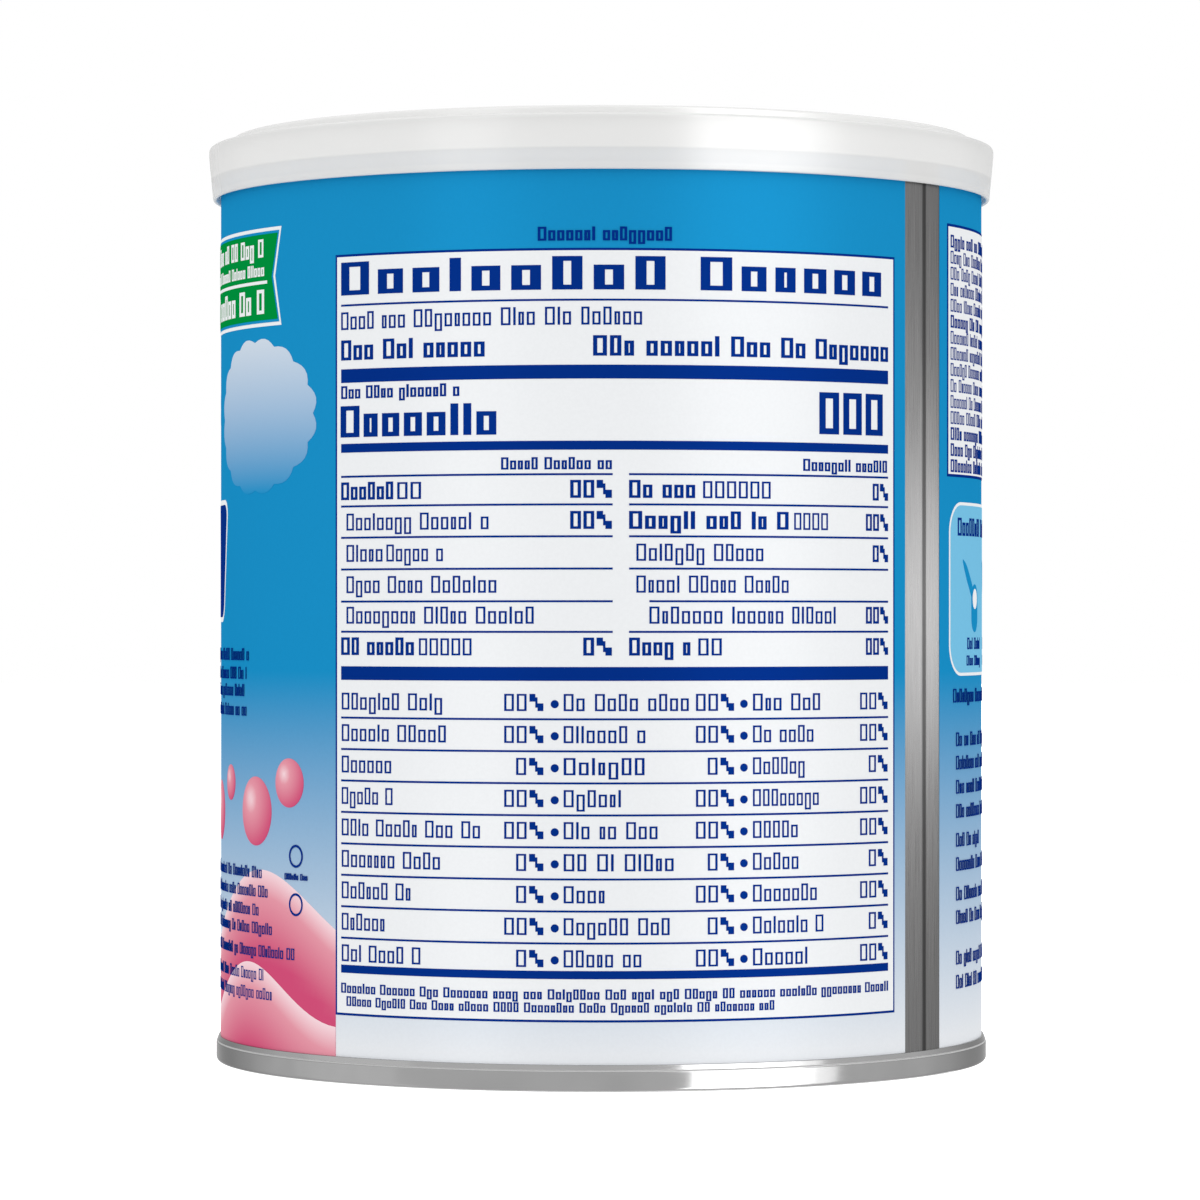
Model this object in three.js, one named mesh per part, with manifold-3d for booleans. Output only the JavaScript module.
// A shut round tin of milk powder with a plastic lid pressed over its rim. Units are millimetres and +Z is up. The
// origin is the centre of the base, on the plane that the tin stands on. The printed table faces -Y, and the
// bare strip with the weld runs up the wall to the right of it.
import * as THREE from 'three';
import { mergeVertices } from 'three/addons/utils/BufferGeometryUtils.js';
import Module from 'manifold-3d';

const wasm = await Module();
wasm.setup();

// Driving dimensions of the can
const WALL_RADIUS = 50.2;
const TIN_HEIGHT = 118.9;
const SEAM_RADIUS = 50.8;
const SEAM_HEIGHT = 3.3;
const SEAM_THICKNESS = 1.35;
const WALL_SHEET = 0.3;

// Driving dimensions of the lid
const TOTAL_HEIGHT = 120.95;
const LID_LOWER_EDGE = 112.86;
const LID_LOWER_RADIUS = 51.24;
const LID_RADIUS = 51.75;
const LID_SHOULDER_HEIGHT = 119.76;
const LID_SHOULDER_START = 118.6;
const STACKING_RING_RADIUS = 48.8;

// The weld in the bare strip: where it is along the wall, to the right of the middle of the table
const WELD_ARC_FROM_FRONT = 47.8;
const WELD_WIDTH = 0.8;
const WELD_RISE = 0.12;

// Clearance between pieces that lie against each other, and facets round the tin
const GAP = 0.2;
const FACETS = 64;
const CORNER_STEPS = 3;

// The rolled seam, in distances from its outer plane. They run into the tin, so they are z at the base. The
// nose is the edge that the tin stands on. The shoulder is the narrow band above the seam's side, which stands
// back from it by a ledge and leans in to the wall.
const NOSE_INNER_CORNER = 0.35;
const NOSE_OUTER_CORNER = 0.45;
const NOSE_RISE = 0.55;
const SHOULDER_RISE = 0.85;
const SHOULDER_LEDGE = 0.18;
const LEDGE_RISE = 0.3;
const SHOULDER_LEAN = 0.12;
const SHOULDER_CORNER = 0.1;
const HOOK_DEPTH = 1.6;
const RIM_INNER_RADIUS = WALL_RADIUS - WALL_SHEET;

// The panel inside a seam: a countersunk groove, then the panel itself, with pressed steps
const GROOVE_DEPTH = 4.8;
const GROOVE_OUTER_RADIUS = 48.7;
const GROOVE_INNER_RADIUS = 47.9;
const PANEL_RADIUS = 46.8;
const PANEL_DEPTH = 3.7;
const END_THICKNESS = 0.9;
const STEP_HEIGHT = 0.5;
const STEP_RUN = 0.6;
const BASE_STEP_RADII = [38, 24];

// The lid's sections
const LID_THICKNESS = 0.66;
const LID_CORNER = 0.5;
const LID_INNER_RADIUS = SEAM_RADIUS + GAP;
const SNAP_BEAD_RADIUS = WALL_RADIUS + 2 * GAP;
const SNAP_BEAD_TOP = TIN_HEIGHT - SEAM_HEIGHT - 2 * GAP;
const SNAP_BEAD_HEIGHT = 1;
const LIP_RADIUS = 0.27;
const RING_WIDTH = 2.1;
const RING_CORNER = 0.4;
const RING_SLOPE = 1;
const LID_PANEL_HEIGHT = 119.36;
const LID_STEP_RADIUS = 40;
const LID_STEP_DROP = 0.35;
const GATE_RADIUS = 1.5;
const GATE_RISE = 0.25;

const QUARTER = Math.PI / 2;
const point = (r, h) => new THREE.Vector2(r, h);

// A quarter or other part of an ellipse as profile points, from one angle to another
function corner(r, h, radial, axial, from, to) {
  const points = [];
  for (let i = 0; i <= CORNER_STEPS; i++) {
    const angle = from + ((to - from) * i) / CORNER_STEPS;
    points.push(point(r + radial * Math.cos(angle), h + axial * Math.sin(angle)));
  }
  return points;
}

// The profile of a rolled end, from the axis along its outer face, round the seam and back inside. Each
// radius in steps is where the panel is pressed STEP_HEIGHT further out.
function endProfile(steps) {
  const profile = [];
  let depth = PANEL_DEPTH - STEP_HEIGHT * steps.length;
  profile.push(point(0, depth));
  for (const radius of [...steps].reverse()) {
    profile.push(point(radius - STEP_RUN, depth));
    depth += STEP_HEIGHT;
    profile.push(point(radius, depth));
  }
  const noseInner = SEAM_RADIUS - SEAM_THICKNESS + NOSE_INNER_CORNER;
  const noseOuter = SEAM_RADIUS - NOSE_OUTER_CORNER;
  const sideEnd = SEAM_HEIGHT - SHOULDER_RISE;
  const shoulder = SEAM_RADIUS - SHOULDER_LEDGE;
  const lip = WALL_RADIUS + GAP;
  profile.push(
    point(PANEL_RADIUS, PANEL_DEPTH),
    point(GROOVE_INNER_RADIUS, GROOVE_DEPTH),
    point(GROOVE_OUTER_RADIUS, GROOVE_DEPTH),
    ...corner(noseInner, NOSE_INNER_CORNER, NOSE_INNER_CORNER, NOSE_INNER_CORNER, 2 * QUARTER, 3 * QUARTER),
    ...corner(noseOuter, NOSE_RISE, NOSE_OUTER_CORNER, NOSE_RISE, -QUARTER, 0),
    point(SEAM_RADIUS, sideEnd),
    point(shoulder, sideEnd + LEDGE_RISE),
    point(shoulder - SHOULDER_LEAN, SEAM_HEIGHT - SHOULDER_CORNER),
    point(lip, SEAM_HEIGHT),
    point(lip, HOOK_DEPTH),
    point(RIM_INNER_RADIUS - GAP, HOOK_DEPTH),
    point(RIM_INNER_RADIUS - GAP, GROOVE_DEPTH + END_THICKNESS),
    point(0, GROOVE_DEPTH + END_THICKNESS),
  );
  return profile;
}

// The can and its contents are one solid, with a thin rim at each end that hooks into the seam.
function wallProfile() {
  const end = GROOVE_DEPTH + END_THICKNESS + GAP;
  const hook = HOOK_DEPTH + GAP;
  return [
    point(0, end),
    point(RIM_INNER_RADIUS, end),
    point(RIM_INNER_RADIUS, hook),
    point(WALL_RADIUS, hook),
    point(WALL_RADIUS, TIN_HEIGHT - hook),
    point(RIM_INNER_RADIUS, TIN_HEIGHT - hook),
    point(RIM_INNER_RADIUS, TIN_HEIGHT - end),
    point(0, TIN_HEIGHT - end),
  ];
}

// The lid is a thin shell: along the underside, down inside the skirt, round its lip, up the outside, over
// the shoulder and the stacking ring, and back across the panel.
function lidProfile() {
  const ringInner = STACKING_RING_RADIUS - RING_WIDTH;
  const under = LID_PANEL_HEIGHT - LID_THICKNESS;
  const hollowTop = TOTAL_HEIGHT - LID_THICKNESS;
  const ledge = LID_SHOULDER_HEIGHT - LID_THICKNESS;
  const lipCentre = LID_LOWER_RADIUS - LIP_RADIUS;
  const panel = LID_PANEL_HEIGHT - LID_STEP_DROP;
  const round = (r, h, size, from, to) => corner(r, h, size, size, from, to);
  return [
    point(0, under - LID_STEP_DROP),
    point(LID_STEP_RADIUS - STEP_RUN, under - LID_STEP_DROP),
    point(LID_STEP_RADIUS, under),
    point(ringInner - RING_SLOPE + LID_THICKNESS, under),
    point(ringInner + LID_THICKNESS, hollowTop),
    point(STACKING_RING_RADIUS - LID_THICKNESS, hollowTop),
    point(STACKING_RING_RADIUS - LID_THICKNESS, ledge),
    ...round(LID_INNER_RADIUS - RING_CORNER, ledge - RING_CORNER, RING_CORNER, QUARTER, 0),
    point(LID_INNER_RADIUS, SNAP_BEAD_TOP + RING_CORNER),
    point(SNAP_BEAD_RADIUS, SNAP_BEAD_TOP),
    point(SNAP_BEAD_RADIUS, SNAP_BEAD_TOP - SNAP_BEAD_HEIGHT),
    ...round(lipCentre, LID_LOWER_EDGE + LIP_RADIUS, LIP_RADIUS, -2 * QUARTER, 0),
    point(LID_RADIUS, LID_SHOULDER_START),
    ...round(LID_RADIUS - LID_CORNER, LID_SHOULDER_HEIGHT - LID_CORNER, LID_CORNER, 0, QUARTER),
    point(STACKING_RING_RADIUS + RING_CORNER / 2, LID_SHOULDER_HEIGHT),
    point(STACKING_RING_RADIUS, LID_SHOULDER_HEIGHT + RING_CORNER / 2),
    ...round(STACKING_RING_RADIUS - RING_CORNER, TOTAL_HEIGHT - RING_CORNER, RING_CORNER, 0, QUARTER),
    ...round(ringInner + RING_CORNER, TOTAL_HEIGHT - RING_CORNER, RING_CORNER, QUARTER, 2 * QUARTER),
    point(ringInner - RING_SLOPE, LID_PANEL_HEIGHT),
    point(LID_STEP_RADIUS, LID_PANEL_HEIGHT),
    point(LID_STEP_RADIUS - STEP_RUN, panel),
    point(GATE_RADIUS, panel),
    point(GATE_RADIUS / 2, panel + GATE_RISE),
    point(0, panel + GATE_RISE),
  ];
}

// A solid of revolution about +Z
function turned(profile) {
  return new THREE.LatheGeometry(profile, FACETS).rotateX(QUARTER);
}

// A three.js geometry as a closed solid that can be joined. The triangles that a profile's ends leave with no
// area on the axis are dropped.
function solidFrom(geometry) {
  geometry.deleteAttribute('normal');
  geometry.deleteAttribute('uv');
  const merged = mergeVertices(geometry);
  const corners = merged.index.array;
  const faces = [];
  for (let i = 0; i < corners.length; i += 3) {
    const [a, b, c] = [corners[i], corners[i + 1], corners[i + 2]];
    if (a !== b && b !== c && c !== a) faces.push(a, b, c);
  }
  return new wasm.Manifold(
    new wasm.Mesh({
      numProp: 3,
      vertProperties: new Float32Array(merged.attributes.position.array),
      triVerts: new Uint32Array(faces),
    }),
  );
}

function geometryFrom(solid) {
  const mesh = solid.getMesh();
  const geometry = new THREE.BufferGeometry();
  geometry.setAttribute('position', new THREE.BufferAttribute(mesh.vertProperties, 3));
  geometry.setIndex(new THREE.BufferAttribute(mesh.triVerts, 1));
  geometry.computeVertexNormals();
  return geometry;
}

// The printed wall with the weld, a low rib that stops short of both seams and is half as deep as the sheet
function wallWithWeld() {
  const ribHeight = TIN_HEIGHT - 2 * (SEAM_HEIGHT + GAP);
  const ribInner = WALL_RADIUS - WALL_SHEET / 2;
  const ribOuter = WALL_RADIUS + WELD_RISE;
  const rib = new THREE.BoxGeometry(WELD_WIDTH, ribOuter - ribInner, ribHeight);
  rib.translate(0, -(ribInner + ribOuter) / 2, TIN_HEIGHT / 2);
  rib.rotateZ(WELD_ARC_FROM_FRONT / WALL_RADIUS);
  return geometryFrom(solidFrom(turned(wallProfile())).add(solidFrom(rib)));
}

const printedSteel = new THREE.MeshStandardMaterial({ color: 0x188cc5, roughness: 0.35, metalness: 0.2 });
const bareSteel = new THREE.MeshStandardMaterial({ color: 0xa6a9ab, roughness: 0.3, metalness: 1 });
const lidPlastic = new THREE.MeshStandardMaterial({ color: 0xe6ebee, roughness: 0.4, metalness: 0 });

const tin = new THREE.Group();

function addPiece(name, geometry, material) {
  const piece = new THREE.Mesh(geometry, material);
  piece.name = name;
  tin.add(piece);
}

addPiece('can_wall', wallWithWeld(), printedSteel);
addPiece('base_end', turned(endProfile(BASE_STEP_RADII)), bareSteel);
addPiece(
  'top_end',
  turned(
    endProfile([])
      .map(({ x, y }) => point(x, TIN_HEIGHT - y))
      .reverse(),
  ),
  bareSteel,
);
addPiece('lid', turned(lidProfile()), lidPlastic);

export default tin;
